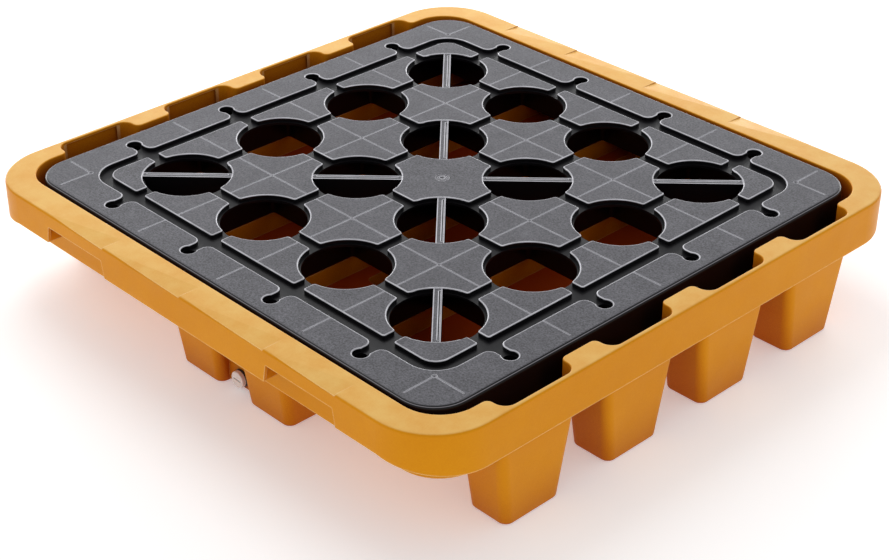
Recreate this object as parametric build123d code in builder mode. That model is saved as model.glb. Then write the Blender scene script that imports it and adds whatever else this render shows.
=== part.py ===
"""Spill containment pallet: a moulded sump on sixteen hollow feet, with a lift-out drum grate
and a screwed drain plug low between the two middle feet of the front.

Units are millimetres. X runs along the castellated sides' normal, -Y is the front (fork entry
and drain), +Z is up and the floor is at Z = 0 under the middle of the pallet.
"""
import os
from math import atan2, degrees, isclose

from build123d import *

# ---------------------------------------------------------------- sump, overall
pallet_length = 1300.0          # X, over the two castellated sides
pallet_width = 1300.0           # Y, over the front and the back
pallet_height = 260.0           # floor to the top of the rim
wall = 6.0                      # wall of the moulding
rim_corner_radius = 130.0
rim_edge_radius = 5.0
front_rim = 62.0                # width of the rim's flat top at the front and the back
tab_reach = 50.0                # how far the tabs on the long sides reach in
lip = 10.0                      # thickness of the lip left between a side pocket and the outside
opening_corner_radius = 80.0
lip_edge_radius = 2.5
side_skirt = 86.0               # depth of the skirt on the castellated sides
front_skirt = 66.0              # depth of the skirt at the front and the back
facet_width = 46.0              # flats on the outer half of the front and back rims, at their wide ends
facet_depth = 3.0
facet_run_out = 0.2             # how far the cutter for a flat goes past it, as a share of its size

# ---------------------------------------------------------------- sump, fork entry
tunnel_height = 135.0           # floor to the underside of the tank
notch_spacing = 654.0           # between the centres of the two fork notches
notch_width = 186.0
notch_height = 36.0
notch_slope = 7.0               # how far each end of a notch leans in over its height

# ---------------------------------------------------------------- sump, feet
feet_per_row = 4
foot_corner_radius = 18.0
foot_sole_radius = 5.0
side_foot_inset = 260.0         # from the front face of the pallet to the first side foot's centre
side_foot_length = 135.0        # Y, at the sole
side_foot_width = 92.0          # X, at the sole
side_foot_flare = 24.5          # how much each end grows up to the skirt
side_foot_setback = 18.0        # sole's outer edge behind the skirt's face
pocket_base_radius = 24.0
tab_tip_radius = 13.0
middle_foot_spacing = 200.0     # X, between the centres of the two middle rows
middle_foot_inset = 180.0       # from the front face of the pallet to the first middle foot's centre
middle_foot_length = 140.0      # Y, at the sole
middle_foot_width = 120.0       # X, at the sole
middle_foot_end_flare = 19.0
middle_foot_side_flare = 8.0

# ---------------------------------------------------------------- grate
grate_end_clearance = 20.0      # to the tabs on the castellated sides
grate_front_clearance = 8.0     # to the rim at the front and the back
grate_depth = 80.0
grate_corner_radius = 76.0
grate_edge_radius = 8.0
deck_thickness = 14.0
groove_width = 25.0
groove_depth = 9.0
border_width = 95.0             # outside edge of the grate to the middle of the ring groove
ring_corner_radius = 46.0
edge_pad = 127.4                # middle of the ring groove to the first row of drum holes
holes_per_row = 4
hole_radius = 88.5
hole_ledge = 4.5                # step inside each hole at the level of the groove's floor
pad_corner_radius = 5.0
pad_edge_radius = 2.2
keyhole_radius = 15.0
keyhole_reach = 51.0            # middle of the ring groove to the middle of a keyhole
keyhole_neck = 22.0
keyhole_mouth_radius = 17.0
rib_thickness = 6.0
cell_corner_radius = 9.0
brace_thickness = 16.0          # diagonal braces
brace_drop = 1.5                # braces' tops below the deck's
brace_bite = 0.5                # how far a brace's top runs into the pads at each end
brace_groove_width = 2.5
brace_groove_depth = 4.0
brace_groove_offset = 3.5       # to the left of a brace's middle
brace_groove_end = 4.0          # short of the hole's wall
line_width = 2.4                # moulded V-shaped lines across the deck
line_depth = 1.0
line_end_gap = 17.0             # from a line's end to the outside of the grate
pad_dot_radius = 2.5
corner_dot_radius = 4.0
corner_dot_gap = 8.5            # from the ring groove's middle to a corner dot, each way
dot_depth = 1.0
gate_radius = 4.5               # dimple in the middle pad, with a shallow ring round it
gate_depth = 2.0
gate_ring_outer = 13.0
gate_ring_inner = 10.5
gate_ring_depth = 0.8
seat_gap = 0.3                  # between the grate and the ridges it stands on

# ---------------------------------------------------------------- ridges under the grate
ridge_thickness = 10.0
ridge_end_gap = 60.0            # left open at both ends, so that spills can run round them

# ---------------------------------------------------------------- drain
well_width = 90.0
well_front = 130.0              # from the front face of the pallet to the well's front face
well_length = 120.0
well_clearance = 6.0            # under the well
drain_wall = 12.0
drain_height = 26.0             # axis of the drain above the floor
shank_radius = 9.95
shank_clearance = 0.05
bush_radius = 13.0
collar_radius = 18.0
collar_thickness = 3.0
gasket_radius = 16.0
gasket_bore_gap = 0.4
gasket_thickness = 2.0
gasket_edge_radius = 0.5
face_gap = 0.05                 # between the gasket and what it lies against
head_radius = 17.0
head_thickness = 8.0
head_edge_radius = 2.0
slot_width = 4.0
slot_length = 22.0
slot_depth = 4.0
shank_length = 17.0

fit = 0.01                      # how nearly two lengths agree when a corner is picked out

# ---------------------------------------------------------------- worked out from the above
half_length = pallet_length / 2
half_width = pallet_width / 2
rim_underside = pallet_height - wall
side_skirt_bottom = pallet_height - side_skirt
front_skirt_bottom = pallet_height - front_skirt
opening_length = pallet_length - 2 * tab_reach
opening_width = pallet_width - 2 * front_rim
tank_floor = tunnel_height + wall
grate_seat = pallet_height - grate_depth

side_foot_pitch = (pallet_width - 2 * side_foot_inset) / (feet_per_row - 1)
side_sole_x = half_length - side_foot_setback - side_foot_width / 2
pocket_face = half_length - lip
pocket_length = side_foot_length + 2 * side_foot_flare - 2 * wall
tab_row_end = (feet_per_row - 1) / 2 * side_foot_pitch + pocket_length / 2 + wall
side_top_width = side_foot_width + 2 * (pocket_face - (side_sole_x + side_foot_width / 2))
middle_foot_pitch = (pallet_width - 2 * middle_foot_inset) / (feet_per_row - 1)

grate_length = opening_length - 2 * grate_end_clearance
grate_width = opening_width - 2 * grate_front_clearance
ring_length = grate_length - 2 * border_width
ring_width = grate_width - 2 * border_width
pitch_x = (ring_length - 2 * edge_pad) / (holes_per_row - 1)
pitch_y = (ring_width - 2 * edge_pad) / (holes_per_row - 1)
hole_rows = [index - (holes_per_row - 1) / 2 for index in range(holes_per_row)]
groove_floor = pallet_height - groove_depth
deck_underside = pallet_height - deck_thickness

well_face = -half_width + well_front
collar_face = well_face - collar_thickness
gasket_face = collar_face - gasket_thickness

os.makedirs("parts", exist_ok=True)


side_foot_places = GridLocations(2 * side_sole_x, side_foot_pitch, 2, feet_per_row)
middle_foot_places = GridLocations(middle_foot_spacing, middle_foot_pitch, 2, feet_per_row)


def block(sole_size, top_size, sole_height, top_height, corner_radius):
    """A hollow's or a foot's solid: two rounded rectangles, sole below and top above, joined."""
    with BuildPart() as solid:
        with BuildSketch(Plane.XY.offset(sole_height)):
            RectangleRounded(*sole_size, corner_radius)
        with BuildSketch(Plane.XY.offset(top_height)):
            RectangleRounded(*top_size, corner_radius)
        loft()
        fillet(solid.faces().sort_by(Axis.Z)[0].edges(), radius=foot_sole_radius)
    return solid.part


def facet(start, end):
    """What is cut off the front rim to leave a flat that widens from its start to its end, along X."""
    over_width = facet_run_out * facet_width
    over_depth = facet_run_out * facet_depth
    with BuildPart() as cutter:
        for x, share in ((start, 0), (end, 1)):
            with BuildSketch(Plane.YZ.offset(x)):
                Polygon(
                    (share * facet_width + over_width - half_width, pallet_height + over_depth),
                    (-over_width - half_width, pallet_height - share * facet_depth - over_depth),
                    (-over_width - half_width, pallet_height + over_depth),
                    align=None,
                )
        loft(ruled=True)
    return cutter.part


def is_tab_tip(corner):
    """True where a tab between two side pockets, or beside the last one, ends at the opening."""
    on_tip = isclose(abs(corner.X), opening_length / 2, abs_tol=fit)
    return on_tip and abs(corner.Y) < tab_row_end


# ================================================================ sump
side_sole = (side_foot_width, side_foot_length)
side_top = (side_top_width, pocket_length + 2 * wall)
side_foot = block(side_sole, side_top, 0, side_skirt_bottom, foot_corner_radius)
side_hollow = block(
    (side_sole[0] - 2 * wall, side_sole[1] - 2 * wall),
    (side_top[0] - 2 * wall, side_top[1] - 2 * wall),
    wall,
    side_skirt_bottom + wall,
    foot_corner_radius - wall,
)
middle_sole = (middle_foot_width, middle_foot_length)
middle_top = (
    middle_foot_width + 2 * middle_foot_side_flare,
    middle_foot_length + 2 * middle_foot_end_flare,
)
middle_foot = block(middle_sole, middle_top, 0, tank_floor, foot_corner_radius)
middle_hollow = block(
    (middle_sole[0] - 2 * wall, middle_sole[1] - 2 * wall),
    (middle_top[0] - 2 * wall, middle_top[1] - 2 * wall),
    wall,
    tank_floor + wall,
    foot_corner_radius - wall,
)

notch_profile = [
    (-notch_width / 2, front_skirt_bottom),
    (notch_width / 2, front_skirt_bottom),
    (notch_width / 2 - notch_slope, front_skirt_bottom + notch_height),
    (notch_slope - notch_width / 2, front_skirt_bottom + notch_height),
]
skirt_step = [
    (-half_length, side_skirt_bottom),
    (half_length, side_skirt_bottom),
    (half_length - rim_corner_radius, front_skirt_bottom),
    (rim_corner_radius - half_length, front_skirt_bottom),
]
facet_ends = [
    -(notch_spacing + notch_width) / 2,
    -(notch_spacing - notch_width) / 2,
    0,
    (notch_spacing - notch_width) / 2,
    (notch_spacing + notch_width) / 2,
]
facets = [facet(start, end) for start, end in zip(facet_ends[:-1], facet_ends[1:])]
notch_ends = [
    (side * notch_spacing / 2 + end * (notch_width + wall) / 2, face * (half_width - front_rim / 2))
    for side in (-1, 1)
    for end in (-1, 1)
    for face in (-1, 1)
]

with BuildPart() as sump:
    # Rim: a flat top with a turned-down skirt, hollow underneath.
    with BuildSketch(Plane.XY.offset(side_skirt_bottom)):
        RectangleRounded(pallet_length, pallet_width, rim_corner_radius)
    extrude(amount=side_skirt)
    fillet(sump.faces().sort_by(Axis.Z)[-1].edges(), radius=rim_edge_radius)
    with BuildSketch(Plane.XY.offset(side_skirt_bottom)):
        RectangleRounded(pallet_length - 2 * wall, pallet_width - 2 * wall, rim_corner_radius - wall)
    extrude(amount=side_skirt - wall, mode=Mode.SUBTRACT)

    # The skirt is shallower at the front and the back, and slopes down round each corner,
    # with two fork notches in each of those sides.
    for face, inward in ((half_width, -1), (-half_width, 1)):
        with BuildSketch(Plane.XZ.offset(face)):
            Polygon(*skirt_step, align=None)
        extrude(amount=inward * rim_corner_radius, mode=Mode.SUBTRACT)
        with BuildSketch(Plane.XZ.offset(face)):
            with GridLocations(notch_spacing, 1, 2, 1):
                Polygon(*notch_profile, align=None)
        extrude(amount=inward * 2 * wall, mode=Mode.SUBTRACT)

    # Tank, and a return wall from the skirt to the tank at each end of each notch.
    with BuildSketch(Plane.XY.offset(tunnel_height)):
        RectangleRounded(
            opening_length + 2 * wall, opening_width + 2 * wall, opening_corner_radius + wall
        )
    extrude(amount=rim_underside - tunnel_height)
    with BuildSketch(Plane.XY.offset(front_skirt_bottom)):
        with Locations(*notch_ends):
            Rectangle(wall, front_rim - wall)
    extrude(amount=front_skirt - wall)

    # Feet. Above the skirt's edge the side feet go on up as the walls of their pockets.
    with side_foot_places:
        add(side_foot)
    with middle_foot_places:
        add(middle_foot)
    with BuildSketch(Plane.XY.offset(side_skirt_bottom)):
        with side_foot_places:
            Rectangle(side_top[0], side_top[1])
    extrude(amount=side_skirt - wall)
    with BuildSketch(Plane.XY.offset(well_clearance)):
        with Locations((0, well_face + well_length / 2)):
            Rectangle(well_width, well_length)
    extrude(amount=tunnel_height - well_clearance)

    # Inside: the opening with its pockets, the tank, the feet and the well.
    with BuildSketch(Plane.XY.offset(grate_seat)) as opening:
        RectangleRounded(opening_length, opening_width, opening_corner_radius)
        with GridLocations(pallet_length - 2 * lip - tab_reach, side_foot_pitch, 2, feet_per_row):
            Rectangle(tab_reach, pocket_length)
        corners = opening.vertices()
        at_face = corners.filter_by(lambda v: isclose(abs(v.X), pocket_face, abs_tol=fit))
        fillet(at_face, radius=pocket_base_radius)
        corners = opening.vertices()
        at_tips = corners.filter_by(is_tab_tip)
        fillet(at_tips, radius=tab_tip_radius)
    extrude(amount=grate_depth, mode=Mode.SUBTRACT)
    rim_top = sump.faces().filter_by(Axis.Z).sort_by(Axis.Z)[-1]
    fillet(rim_top.inner_wires()[0].edges(), radius=lip_edge_radius)
    with BuildSketch(Plane.XY.offset(tank_floor)):
        RectangleRounded(opening_length, opening_width, opening_corner_radius)
    extrude(amount=grate_seat - tank_floor, mode=Mode.SUBTRACT)
    with side_foot_places:
        add(side_hollow, mode=Mode.SUBTRACT)
    with middle_foot_places:
        add(middle_hollow, mode=Mode.SUBTRACT)
    with BuildSketch(Plane.XY.offset(well_clearance + wall)):
        with Locations((0, well_face + well_length / 2)):
            Rectangle(middle_foot_spacing - middle_foot_width + 4 * wall, well_length - 2 * drain_wall)
    extrude(amount=tank_floor - well_clearance - wall, mode=Mode.SUBTRACT)

    # Ridges on the tank's floor, under the grate's ribs, carry the grate.
    with BuildSketch(Plane.XY.offset(tank_floor - wall / 2)):
        with GridLocations(pitch_x, 1, holes_per_row + 1, 1):
            SlotOverall(opening_width - 2 * ridge_end_gap, ridge_thickness, rotation=90)
    extrude(amount=grate_seat - seat_gap - tank_floor + wall / 2)

    # Flats on the front and back rims, one after another, each widening and then stepping back.
    for turn in (0, 180):
        with Locations(Location((0, 0, 0), (0, 0, turn))):
            for flat in facets:
                add(flat, mode=Mode.SUBTRACT)

    # Drain hole in the front of the well.
    with BuildSketch(Plane.XZ.offset(-well_face)):
        with Locations((0, drain_height)):
            Circle(bush_radius)
    extrude(amount=-drain_wall, mode=Mode.SUBTRACT)

sump.part.label = "sump"
export_step(sump.part, "parts/sump.step")


# ================================================================ grate
keyhole_places = [
    (side * (ring_length / 2 + keyhole_reach), row * pitch_y)
    for side in (-1, 1)
    for row in hole_rows
] + [
    (column * pitch_x, side * (ring_width / 2 + keyhole_reach))
    for side in (-1, 1)
    for column in hole_rows
]
brace_angle = degrees(atan2(pitch_y, pitch_x))
brace_places = [
    Location((row * pitch_x, row * side * pitch_y, 0), (0, 0, side * brace_angle))
    for side in (-1, 1)
    for row in hole_rows
]
pad_dots = [
    (column * pitch_x, row * pitch_y)
    for column in (-1, 0, 1)
    for row in (-1, 0, 1)
    if (column, row) != (0, 0)
]
corner_dots = GridLocations(ring_length + 2 * corner_dot_gap, ring_width + 2 * corner_dot_gap, 2, 2)
mouth_x = (ring_length + groove_width) / 2
mouth_y = (ring_width + groove_width) / 2


def is_keyhole_mouth(corner):
    """True where a keyhole's neck leaves the ring groove."""
    on_x_side = isclose(abs(corner.X), mouth_x, abs_tol=fit)
    on_y_side = isclose(abs(corner.Y), mouth_y, abs_tol=fit)
    along_x_side = abs(corner.Y) < (ring_width - edge_pad) / 2
    along_y_side = abs(corner.X) < (ring_length - edge_pad) / 2
    return (on_x_side and along_x_side) or (on_y_side and along_y_side)


def is_pad_corner(corner):
    """True at the sharp corners of the pads, not where the ring's own rounding starts."""
    inside = abs(corner.X) < ring_length / 2 and abs(corner.Y) < ring_width / 2
    round_x = isclose(abs(corner.X), ring_length / 2 - ring_corner_radius, abs_tol=fit)
    round_y = isclose(abs(corner.Y), ring_width / 2 - ring_corner_radius, abs_tol=fit)
    return inside and not round_x and not round_y


def is_cell_corner(corner):
    """True at the sharp corners of the cells, not where the outline's rounding starts."""
    start_x = grate_length / 2 - grate_corner_radius
    start_y = grate_width / 2 - grate_corner_radius
    round_x = isclose(abs(corner.X), start_x, abs_tol=fit)
    round_y = isclose(abs(corner.Y), start_y, abs_tol=fit)
    return not round_x and not round_y


def moulded_line(length):
    """What is cut out of the deck's top to leave a V-shaped line of a given length along X."""
    with BuildPart() as cutter:
        with BuildSketch(Plane.YZ):
            Polygon(
                (-line_width, pallet_height + line_depth),
                (0, pallet_height - line_depth),
                (line_width, pallet_height + line_depth),
                align=None,
            )
        extrude(amount=length)
    return cutter.part


# Every line runs outward: its direction, where it starts along and beside that direction, and its length.
moulded_lines = []
corner_x = ring_length / 2 + corner_dot_gap
corner_y = ring_width / 2 + corner_dot_gap
for direction, line_end, middle_start, beside, corner_start, corner_beside in (
    (0, grate_length / 2 - line_end_gap, pitch_x / 2, pitch_y, corner_x, corner_y),
    (90, grate_width / 2 - line_end_gap, pitch_y / 2, pitch_x, corner_y, corner_x),
):
    for start, aside in (
        (middle_start, 0),
        (0, beside),
        (0, -beside),
        (corner_start, corner_beside),
        (corner_start, -corner_beside),
    ):
        moulded_lines.append((direction, start, aside, line_end - start))
        moulded_lines.append((direction + 180, start, aside, line_end - start))


with BuildPart() as grate:
    with BuildSketch(Plane.XY.offset(grate_seat)):
        RectangleRounded(grate_length, grate_width, grate_corner_radius)
    extrude(amount=groove_floor - grate_seat)

    # Raised border and pads, parted by the ring groove and the grooves from hole to hole.
    with BuildSketch(Plane.XY.offset(groove_floor)) as pads:
        RectangleRounded(grate_length, grate_width, grate_corner_radius)
        RectangleRounded(
            ring_length + groove_width,
            ring_width + groove_width,
            ring_corner_radius + groove_width / 2,
            mode=Mode.SUBTRACT,
        )
        RectangleRounded(
            ring_length - groove_width,
            ring_width - groove_width,
            ring_corner_radius - groove_width / 2,
        )
        with GridLocations(1, pitch_y, 1, holes_per_row):
            Rectangle(ring_length, groove_width, mode=Mode.SUBTRACT)
            Rectangle(ring_length + 2 * keyhole_reach, keyhole_neck, mode=Mode.SUBTRACT)
        with GridLocations(pitch_x, 1, holes_per_row, 1):
            Rectangle(groove_width, ring_width, mode=Mode.SUBTRACT)
            Rectangle(keyhole_neck, ring_width + 2 * keyhole_reach, mode=Mode.SUBTRACT)
        with Locations(*keyhole_places):
            Circle(keyhole_radius, mode=Mode.SUBTRACT)
        with GridLocations(pitch_x, pitch_y, holes_per_row, holes_per_row):
            Circle(hole_radius, mode=Mode.SUBTRACT)
        fillet(pads.vertices().filter_by(is_keyhole_mouth), radius=keyhole_mouth_radius)
        fillet(pads.vertices().filter_by(is_pad_corner), radius=pad_corner_radius)
    extrude(amount=groove_depth)
    tops = grate.faces().filter_by(Axis.Z).group_by(Axis.Z)[-1]
    border = tops.sort_by(SortBy.AREA)[-1]
    fillet(tops.edges() - border.outer_wire().edges(), radius=pad_edge_radius)
    tops = grate.faces().filter_by(Axis.Z).group_by(Axis.Z)[-1]
    border = tops.sort_by(SortBy.AREA)[-1]
    fillet(border.outer_wire().edges(), radius=grate_edge_radius)

    # Drum holes and drain holes through the grooves' floor.
    with BuildSketch(Plane.XY.offset(deck_underside)):
        with GridLocations(pitch_x, pitch_y, holes_per_row, holes_per_row):
            Circle(hole_radius - hole_ledge)
        with Locations(*keyhole_places):
            Circle(keyhole_radius - hole_ledge / 2)
    extrude(amount=deck_thickness, mode=Mode.SUBTRACT)

    # Cells under the deck: what is left between them are the ribs and the diagonal braces.
    with BuildSketch(Plane.XY.offset(grate_seat)) as cells:
        RectangleRounded(
            grate_length - 2 * rib_thickness,
            grate_width - 2 * rib_thickness,
            grate_corner_radius - rib_thickness,
        )
        with GridLocations(pitch_x, 1, holes_per_row + 1, 1):
            Rectangle(rib_thickness, grate_width, mode=Mode.SUBTRACT)
        with GridLocations(1, pitch_y, 1, holes_per_row + 1):
            Rectangle(grate_length, rib_thickness, mode=Mode.SUBTRACT)
        fillet(cells.vertices().filter_by(is_cell_corner), radius=cell_corner_radius)
        for side in (-1, 1):
            Rectangle(
                2 * grate_length, brace_thickness, rotation=side * brace_angle, mode=Mode.SUBTRACT
            )
    extrude(amount=deck_underside - grate_seat, mode=Mode.SUBTRACT)

    # Tops of the braces, nearly level with the deck, across the drum holes on the diagonals.
    with BuildSketch(Plane.XY.offset(deck_underside)):
        with Locations(*brace_places):
            Rectangle(2 * (hole_radius + brace_bite), brace_thickness)
    extrude(amount=deck_thickness - brace_drop)
    with BuildSketch(Plane.XY.offset(pallet_height - brace_drop)):
        with Locations(*brace_places):
            with Locations((0, brace_groove_offset)):
                Rectangle(2 * (hole_radius - hole_ledge - brace_groove_end), brace_groove_width)
    extrude(amount=-brace_groove_depth, mode=Mode.SUBTRACT)

    # Lines and dots that the mould's inserts leave in the deck, and the gate's mark in the middle.
    for direction, start, aside, length in moulded_lines:
        with Locations(Location((0, 0, 0), (0, 0, direction))):
            with Locations((start, aside, 0)):
                add(moulded_line(length), mode=Mode.SUBTRACT)
    with BuildSketch(Plane.XY.offset(pallet_height)):
        with Locations(*pad_dots):
            Circle(pad_dot_radius)
        with corner_dots:
            Circle(corner_dot_radius)
    extrude(amount=-dot_depth, mode=Mode.SUBTRACT)
    with BuildSketch(Plane.XY.offset(pallet_height)):
        Circle(gate_ring_outer)
        Circle(gate_ring_inner, mode=Mode.SUBTRACT)
    extrude(amount=-gate_ring_depth, mode=Mode.SUBTRACT)
    with BuildSketch(Plane.XY.offset(pallet_height)):
        Circle(gate_radius)
    extrude(amount=-gate_depth, mode=Mode.SUBTRACT)

grate.part.label = "grate"
export_step(grate.part, "parts/grate.step")


# ================================================================ drain
def ring(outer_radius, inner_radius, back, front):
    """A ring on the drain's axis between two distances from the middle of the pallet."""
    with BuildPart() as tube:
        with BuildSketch(Plane.XZ.offset(-back)):
            with Locations((0, drain_height)):
                Circle(outer_radius)
                Circle(inner_radius, mode=Mode.SUBTRACT)
        extrude(amount=back - front)
    return tube.part


# Threaded bush moulded into the well's wall, with a collar outside.
bush_bore = shank_radius + shank_clearance
sleeve = ring(bush_radius, bush_bore, well_face + drain_wall, well_face)
collar = ring(collar_radius, bush_bore, well_face, collar_face)
with BuildPart() as drain_bush:
    add(sleeve)
    add(collar)
drain_bush.part.label = "drain_bush"
export_step(drain_bush.part, "parts/drain_bush.step")

# Flat rubber gasket, a hair clear of the collar and the head.
gasket_body = ring(
    gasket_radius, shank_radius + gasket_bore_gap, collar_face - face_gap, gasket_face + face_gap
)
with BuildPart() as drain_gasket:
    add(gasket_body)
    rims = drain_gasket.edges().filter_by(GeomType.CIRCLE).group_by(SortBy.RADIUS)[-1]
    fillet(rims, radius=gasket_edge_radius)
drain_gasket.part.label = "drain_gasket"
export_step(drain_gasket.part, "parts/drain_gasket.step")

# Plug: round head with a coin slot, on a plain-bored shank.
with BuildPart() as drain_plug:
    with BuildSketch(Plane.XZ.offset(-gasket_face)):
        with Locations((0, drain_height)):
            Circle(head_radius)
    extrude(amount=head_thickness)
    fillet(drain_plug.faces().sort_by(Axis.Y)[0].edges(), radius=head_edge_radius)
    with BuildSketch(Plane.XZ.offset(head_thickness - gasket_face)):
        with Locations((0, drain_height)):
            SlotOverall(slot_length, slot_width)
    extrude(amount=-slot_depth, mode=Mode.SUBTRACT)
    with BuildSketch(Plane.XZ.offset(-gasket_face)):
        with Locations((0, drain_height)):
            Circle(shank_radius)
    extrude(amount=-shank_length)
drain_plug.part.label = "drain_plug"
export_step(drain_plug.part, "parts/drain_plug.step")
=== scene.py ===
"""A spill containment pallet: yellow-orange sump, black lift-out grate, and a drain plug, gasket and bush."""

from math import cos, radians, sin

import bpy
from mathutils import Matrix, Vector


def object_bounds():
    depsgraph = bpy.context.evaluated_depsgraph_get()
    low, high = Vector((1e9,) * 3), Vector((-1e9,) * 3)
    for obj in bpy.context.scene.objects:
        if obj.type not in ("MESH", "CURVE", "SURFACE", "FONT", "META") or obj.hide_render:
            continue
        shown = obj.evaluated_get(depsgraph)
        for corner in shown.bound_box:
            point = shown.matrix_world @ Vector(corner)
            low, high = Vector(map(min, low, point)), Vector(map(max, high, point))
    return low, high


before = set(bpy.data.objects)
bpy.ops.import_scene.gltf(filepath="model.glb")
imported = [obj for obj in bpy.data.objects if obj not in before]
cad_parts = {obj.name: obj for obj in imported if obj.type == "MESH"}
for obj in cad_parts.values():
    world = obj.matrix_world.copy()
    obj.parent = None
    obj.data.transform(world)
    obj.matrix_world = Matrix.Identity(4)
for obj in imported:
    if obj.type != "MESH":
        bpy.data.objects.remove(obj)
cad_low, cad_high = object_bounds()

# ---------------------------------------------------------------------------
# Studio. A three-quarter view from above the near corner, on pale paper lit from below, with one big overhead
# softbox, three low softboxes behind for the moulded edges, and an even pale surround.
# ---------------------------------------------------------------------------

scene = bpy.context.scene
scene.view_settings.view_transform = "Standard"
scene.view_settings.look = "None"

azimuth = radians(45.827)
elevation = radians(31.236)
roll = radians(0.373)
camera_place = Vector((2.3287, -2.2548, 1.9889))
lens_mm = 75.05
film_width_mm = 36.0
nearest_seen = 0.05
farthest_seen = 100.0

backward = Vector((sin(azimuth) * cos(elevation), -cos(azimuth) * cos(elevation), sin(elevation)))
level_right = Vector((0, 0, 1)).cross(backward).normalized()
level_up = backward.cross(level_right)
right = level_right * cos(roll) + level_up * sin(roll)
up = level_up * cos(roll) - level_right * sin(roll)

camera_data = bpy.data.cameras.new("studio camera")
camera_data.lens = lens_mm
camera_data.sensor_width = film_width_mm
camera_data.sensor_fit = "HORIZONTAL"
camera_data.clip_start = nearest_seen
camera_data.clip_end = farthest_seen
camera = bpy.data.objects.new("studio camera", camera_data)
camera.matrix_world = Matrix.LocRotScale(
    camera_place, Matrix((right, up, backward)).transposed().to_quaternion(), None
)
scene.collection.objects.link(camera)
scene.camera = camera


def linear(hex_colour):
    """An sRGB hex colour as the linear RGBA that shaders take."""
    parts = [int(hex_colour[i : i + 2], 16) / 255 for i in (1, 3, 5)]
    return tuple(c / 12.92 if c <= 0.04045 else ((c + 0.055) / 1.055) ** 2.4 for c in parts) + (1.0,)


surround = bpy.data.worlds.new("pale studio surround")
surround.use_nodes = True
surround_light = surround.node_tree.nodes["Background"]
surround_light.inputs["Color"].default_value = linear("#F4F5F8")
surround_light.inputs["Strength"].default_value = 0.66
scene.world = surround


def softbox(name, place, aim, width, depth, watts):
    """A white rectangular studio light at a place, turned to face a point."""
    data = bpy.data.lights.new(name, "AREA")
    data.shape = "RECTANGLE"
    data.size = width
    data.size_y = depth
    data.energy = watts
    light = bpy.data.objects.new(name, data)
    light.location = place
    light.rotation_euler = (Vector(place) - Vector(aim)).to_track_quat("Z", "Y").to_euler()
    scene.collection.objects.link(light)


pallet_middle = (0, 0, 0.2)
softbox("overhead softbox", (-1.8, 0.4, 3.4), pallet_middle, 2.4, 2.4, 42)
softbox("left back softbox", (-4.2, 0.8, 0.8), pallet_middle, 3.2, 0.9, 50)
softbox("back softbox", (-3.0, 3.1, 0.9), pallet_middle, 3.6, 0.9, 55)
softbox("right back softbox", (-0.8, 4.2, 0.8), pallet_middle, 3.2, 0.9, 50)

floor_half = 30
floor_mesh = bpy.data.meshes.new("studio floor")
floor_mesh.from_pydata(
    [(x * floor_half, y * floor_half, 0) for x, y in ((-1, -1), (1, -1), (1, 1), (-1, 1))], [], [(0, 1, 2, 3)]
)
floor = bpy.data.objects.new("studio_floor", floor_mesh)
scene.collection.objects.link(floor)

floor_paint = bpy.data.materials.new("pale matt paper, lit from below")
floor_paint.use_nodes = True
floor_shader = floor_paint.node_tree.nodes["Principled BSDF"]
floor_shader.inputs["Base Color"].default_value = linear("#FAFAF9")
floor_shader.inputs["Emission Color"].default_value = linear("#FFFFFF")
floor_shader.inputs["Emission Strength"].default_value = 0.3
floor_shader.inputs["Roughness"].default_value = 0.9
floor_shader.inputs["Specular IOR Level"].default_value = 0.1
floor_mesh.materials.append(floor_paint)

# ---------------------------------------------------------------------------
# Sump. One rotationally moulded tub in yellow-orange polyethylene: rim, turned-down skirt, tank and sixteen
# hollow feet in a single wall. The powder sinters against a cast mould, so broad panels are slightly
# wavy, the skin has a fine orange peel, and corners rub pale and carry a painted highlight.
# ---------------------------------------------------------------------------


def add(tree, kind, settings=None, inputs=None):
    """Adds a node, sets its properties, and fills each input with a value or links it from another socket."""
    new = tree.nodes.new("ShaderNode" + kind)
    for name, value in (settings or {}).items():
        setattr(new, name, value)
    for name, value in (inputs or {}).items():
        if isinstance(value, bpy.types.NodeSocket):
            tree.links.new(value, new.inputs[name])
        else:
            new.inputs[name].default_value = value
    return new


def start_material(name):
    """An empty node material, its tree, its main shader, and the piece's own coordinates in metres."""
    material = bpy.data.materials.new(name)
    material.use_nodes = True
    tree = material.node_tree
    tree.nodes.clear()
    shader = add(tree, "BsdfPrincipled")
    add(tree, "OutputMaterial", None, {"Surface": shader.outputs["BSDF"]})
    where = add(tree, "TexCoord").outputs["Object"]
    return material, tree, shader, where


def finish_node(name, material, tree, shader, colour, roughness, normal):
    """Links a material's colour, roughness and normal, and puts it on a piece from the CAD frame."""
    tree.links.new(colour, shader.inputs["Base Color"])
    tree.links.new(roughness, shader.inputs["Roughness"])
    tree.links.new(normal, shader.inputs["Normal"])
    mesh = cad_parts[name].data
    mesh.materials.clear()
    mesh.materials.append(material)


def noise(tree, where, spot, detail, roughness=0.5):
    """A soft random pattern about 0.5, with spots of a given size in metres."""
    return add(
        tree, "TexNoise", None, {"Vector": where, "Scale": 1 / spot, "Detail": detail, "Roughness": roughness}
    ).outputs[0]


def ramp(tree, value, start, end, at_start=0.0, at_end=1.0):
    """A number that goes from at_start to at_end while value goes from start to end, and is level beyond."""
    return add(
        tree, "MapRange", None, {"Value": value, 1: start, 2: end, 3: at_start, 4: at_end}
    ).outputs["Result"]


def product(tree, *factors):
    """Numbers multiplied together."""
    result = factors[0]
    for factor in factors[1:]:
        result = add(tree, "Math", {"operation": "MULTIPLY"}, {0: result, 1: factor}).outputs["Value"]
    return result


def blend(tree, amount, under, over, how="MIX"):
    """One colour laid over another by an amount. A Mix node's colours are its sockets 6 and 7, and output 2."""
    return add(
        tree, "Mix", {"data_type": "RGBA", "blend_type": how}, {0: amount, 6: under, 7: over}
    ).outputs[2]


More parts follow.
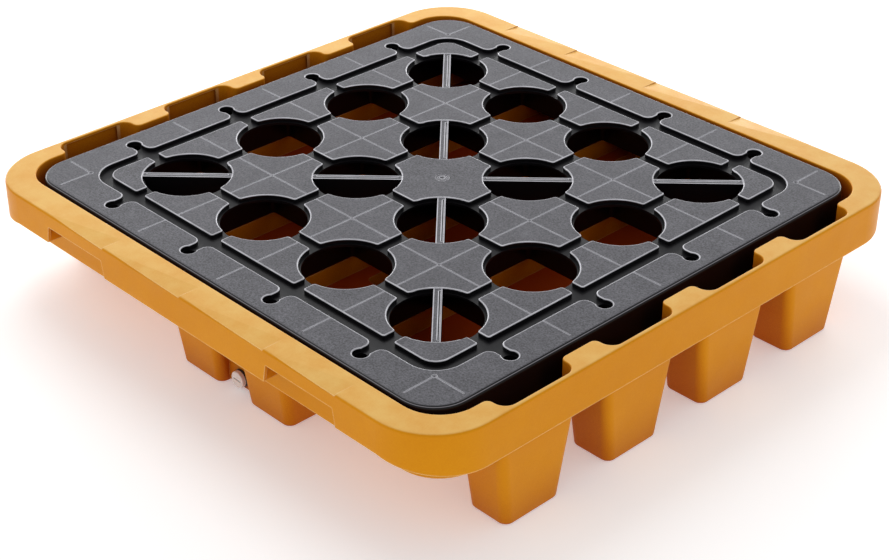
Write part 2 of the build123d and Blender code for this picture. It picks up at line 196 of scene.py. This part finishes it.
def edge_turn(tree, radius, samples):
    """How far the surface turns within a radius: 1 on flat faces, and less at edges."""
    rounded = add(tree, "Bevel", {"samples": samples}, {"Radius": radius}).outputs["Normal"]
    flat = add(tree, "NewGeometry").outputs["Normal"]
    return add(tree, "VectorMath", {"operation": "DOT_PRODUCT"}, {0: rounded, 1: flat}).outputs["Value"]


def bump(tree, height, strength, depth, under=None):
    """A surface raised by a pattern to a depth in metres, on top of another bump where one is given."""
    inputs = {"Strength": strength, "Distance": depth, "Height": height}
    if under is not None:
        inputs["Normal"] = under
    return add(tree, "Bump", None, inputs).outputs["Normal"]


sump_skin, tree, shader, where = start_material("rotomoulded polyethylene, yellow-orange")
rim_top = cad_high.z

# The colour drifts a little over a hand's width, where the powder lay thicker or thinner.
drift = noise(tree, where, spot=0.12, detail=4.0, roughness=0.55)
body_colour = blend(tree, drift, linear("#DC8A10"), linear("#EA9A14"))

# Painted shade: recesses, found by ambient occlusion, are darkened to a deeper red-brown, standing in for the
# shade and the red light bounced inside them.
recess_reach = 0.16
openness = add(tree, "AmbientOcclusion", {"samples": 6}, {"Distance": recess_reach}).outputs["AO"]
recess_shade = blend(tree, ramp(tree, openness, 0.15, 0.75, 1.0, 0.0), body_colour, linear("#A8440A"))

# Painted highlight: faces that lie open to the sky, round the rim and on the tabs, are lightened to cream in
# patches, standing in for glare.
upward = add(
    tree, "SeparateXYZ", None, {"Vector": add(tree, "NewGeometry").outputs["Normal"]}
).outputs["Z"]
height = add(tree, "SeparateXYZ", None, {"Vector": where}).outputs["Z"]
lies_up = ramp(tree, upward, 0.75, 0.97)
near_rim_top = ramp(tree, height, rim_top - 0.03, rim_top - 0.01)
highlight_patches = ramp(tree, noise(tree, where, spot=0.06, detail=5.0, roughness=0.6), 0.35, 0.65, 0.45, 0.75)
top_highlight = blend(tree, product(tree, lies_up, near_rim_top, highlight_patches), recess_shade, linear("#F2C874"))

# Painted shade: the tank's floor, its up-facing faces below about 0.17 m, is turned a deeper red-brown.
shaded_floor_top = 0.17
low_down = ramp(tree, height, shaded_floor_top - 0.02, shaded_floor_top, 0.85, 0.0)
floor_shade = blend(tree, product(tree, lies_up, low_down), top_highlight, linear("#AE3008"))

# Pigment speckle, really under a millimetre and drawn at 3 mm so that it shows.
speckle = noise(tree, where, spot=0.003, detail=2.0)
speckled = blend(tree, 0.15, floor_shade, speckle, "SOFT_LIGHT")

# Corners are rubbed paler over about 4 mm each side, where nothing shelters them, and the pale band is also a
# painted highlight along the edges.
edge_rub_and_highlight = ramp(tree, edge_turn(tree, radius=0.004, samples=6), 0.98, 0.86)
rub_and_highlight_patches = noise(tree, where, spot=0.018, detail=3.0)
worn_and_highlit = blend(tree, product(tree, edge_rub_and_highlight, openness, rub_and_highlight_patches), speckled, linear("#FFE9B0"))

# Polyethylene is nearly matt, and its faint gloss is tinted by the pigment in the skin.
sheen = ramp(tree, noise(tree, where, spot=0.05, detail=5.0), 0.3, 0.7, 0.34, 0.48)
shader.inputs["IOR"].default_value = 1.5
shader.inputs["Specular IOR Level"].default_value = 0.12
shader.inputs["Specular Tint"].default_value = linear("#FFE2A8")

# Moulded skin: panels wander about a millimetre over 90 mm, and orange peel is 2.5 mm across.
panels = bump(tree, noise(tree, where, spot=0.09, detail=1.0), strength=0.6, depth=0.0012)
skin = bump(tree, noise(tree, where, spot=0.0025, detail=1.5), strength=0.35, depth=0.0002, under=panels)
finish_node("sump", sump_skin, tree, shader, worn_and_highlit, sheen, skin)

# ---------------------------------------------------------------------------
# Grate. One injection-moulded deck in black polyethylene, standing loose on the tank's ridges. Its top is
# spark-grained for grip and greys with use; the walls of its holes and cells are smooth and stay black.
# ---------------------------------------------------------------------------

grate_skin, tree, shader, where = start_material("injection-moulded polyethylene, black, grained top")
deck_top = cad_high.z
upward = add(
    tree, "SeparateXYZ", None, {"Vector": add(tree, "NewGeometry").outputs["Normal"]}
).outputs["Z"]
height = add(tree, "SeparateXYZ", None, {"Vector": where}).outputs["Z"]
is_high = ramp(tree, height, deck_top - 0.006, deck_top - 0.002)
is_top = product(tree, ramp(tree, upward, 0.93, 0.995), is_high)

# Grip grain, really half a millimetre and drawn at 3.5 mm so that it shows; scuffs are palm-sized.
grain = noise(tree, where, spot=0.0035, detail=3.0, roughness=0.7)
grained = blend(tree, ramp(tree, grain, 0.3, 0.7), linear("#343336"), linear("#6B6A70"))
scuffs = noise(tree, where, spot=0.05, detail=6.0, roughness=0.65)
scuffed = blend(tree, 0.5, grained, scuffs, "SOFT_LIGHT")
top_colour = blend(tree, is_top, linear("#0A090C"), scuffed)

# The sloping sides of the moulded V lines hold chalky dust and are painted pale, which is also a painted
# highlight on their flanks. Their normals point up by 0.77.
line_slope = product(tree, ramp(tree, upward, 0.70, 0.745), ramp(tree, upward, 0.79, 0.835, 1.0, 0.0))
lines_dusted_and_highlit = blend(tree, product(tree, line_slope, is_high), top_colour, linear("#929196"))

# Pad rims are rubbed nearly white over about 2 mm, evenly all round, and the white rim is also a painted
# highlight on the rounded edges.
rounded = add(tree, "Bevel", {"samples": 8}, {"Radius": 0.005}).outputs["Normal"]
rounded_upward = add(tree, "SeparateXYZ", None, {"Vector": rounded}).outputs["Z"]
at_rim = ramp(tree, rounded_upward, 0.99, 0.955)
not_wall = ramp(tree, upward, 0.2, 0.45)
rub_and_highlight_patches = ramp(tree, noise(tree, where, spot=0.03, detail=3.0), 0.35, 0.65, 0.7, 1.0)

# The grate's own outer edge has a larger radius and gets neither rub nor painted highlight: a band that follows
# its rounded outline.
outline_radius = 0.076
plain_outer_band = 0.012
band_fade = 0.002
grate_corners = [Vector(corner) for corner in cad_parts["grate"].bound_box]
half_length = max(corner.x for corner in grate_corners)
half_width = max(corner.y for corner in grate_corners)
straight_part = (half_length - outline_radius, half_width - outline_radius, 1.0)
from_middle = add(tree, "VectorMath", {"operation": "ABSOLUTE"}, {0: where}).outputs["Vector"]
past_straight = add(
    tree, "VectorMath", {"operation": "SUBTRACT"}, {0: from_middle, 1: straight_part}
).outputs["Vector"]
past_clear = add(
    tree, "VectorMath", {"operation": "MAXIMUM"}, {0: past_straight, 1: (0.0, 0.0, 0.0)}
).outputs["Vector"]
reach = add(tree, "VectorMath", {"operation": "LENGTH"}, {0: past_clear}).outputs["Value"]
band_start = outline_radius - plain_outer_band
inside_band = ramp(tree, reach, band_start, band_start + band_fade, 1.0, 0.0)
rim_rub_and_highlight = product(tree, at_rim, not_wall, is_high, rub_and_highlight_patches, inside_band)
worn_and_highlit = blend(tree, rim_rub_and_highlight, lines_dusted_and_highlit, linear("#DAD9DE"))

# The smooth walls have some gloss, and the grained top has less.
gloss = ramp(tree, is_top, 0.0, 1.0, 0.32, 0.58)
shader.inputs["IOR"].default_value = 1.5
shader.inputs["Specular IOR Level"].default_value = 0.3
skin = bump(tree, product(tree, grain, is_top), strength=0.5, depth=0.0006)
finish_node("grate", grate_skin, tree, shader, worn_and_highlit, gloss, skin)

# ---------------------------------------------------------------------------
# Drain bush. A black nylon sleeve with a collar, moulded into the drain's wall so that the plug has hard threads.
# Nylon takes the mould's polish, so it is a little glossier than the tub, with a faint mottle.
# ---------------------------------------------------------------------------

bush_skin, tree, shader, where = start_material("injection-moulded nylon, black")
mottle = noise(tree, where, spot=0.004, detail=3.0)
tone = blend(tree, mottle, linear("#1D1C1B"), linear("#343230"))
gloss = ramp(tree, mottle, 0.0, 1.0, 0.3, 0.45)
shader.inputs["IOR"].default_value = 1.53
skin = bump(tree, mottle, strength=0.3, depth=0.0001)
finish_node("drain_bush", bush_skin, tree, shader, tone, gloss, skin)

# ---------------------------------------------------------------------------
# Drain gasket. A flat ring punched from black nitrile rubber sheet, squeezed between bush collar and plug head.
# The sheet is matt, with a fine bloom.
# ---------------------------------------------------------------------------

gasket_skin, tree, shader, where = start_material("punched nitrile rubber, black")
mottle = noise(tree, where, spot=0.0015, detail=4.0)
tone = blend(tree, mottle, linear("#141414"), linear("#2A2929"))
gloss = ramp(tree, mottle, 0.0, 1.0, 0.55, 0.75)
skin = bump(tree, mottle, strength=0.4, depth=0.0001)
finish_node("drain_gasket", gasket_skin, tree, shader, tone, gloss, skin)

# ---------------------------------------------------------------------------
# Drain plug. An off-white polypropylene screw plug with a round slotted head, moulded in one piece. The resin is
# slightly translucent, so light softens inside it.
# ---------------------------------------------------------------------------

plug_skin, tree, shader, where = start_material("injection-moulded polypropylene, off-white")
mottle = noise(tree, where, spot=0.003, detail=3.0)
tone = blend(tree, mottle, linear("#E2D2C8"), linear("#F7EEE8"))
# The rim of the head and the slot's lips are polished paler by the tool that turns it, and the pale edge is also
# a painted highlight.
polish_and_highlight = ramp(tree, edge_turn(tree, radius=0.0015, samples=6), 0.99, 0.85, 0.0, 0.8)
worn_and_highlit = blend(tree, polish_and_highlight, tone, linear("#FFFDFB"))
gloss = ramp(tree, mottle, 0.0, 1.0, 0.25, 0.4)
shader.inputs["IOR"].default_value = 1.49
shader.inputs["Subsurface Weight"].default_value = 0.2
shader.inputs["Subsurface Radius"].default_value = (0.003, 0.002, 0.0015)
shader.inputs["Subsurface Scale"].default_value = 1.0
skin = bump(tree, mottle, strength=0.3, depth=0.0001)
finish_node("drain_plug", plug_skin, tree, shader, worn_and_highlit, gloss, skin)
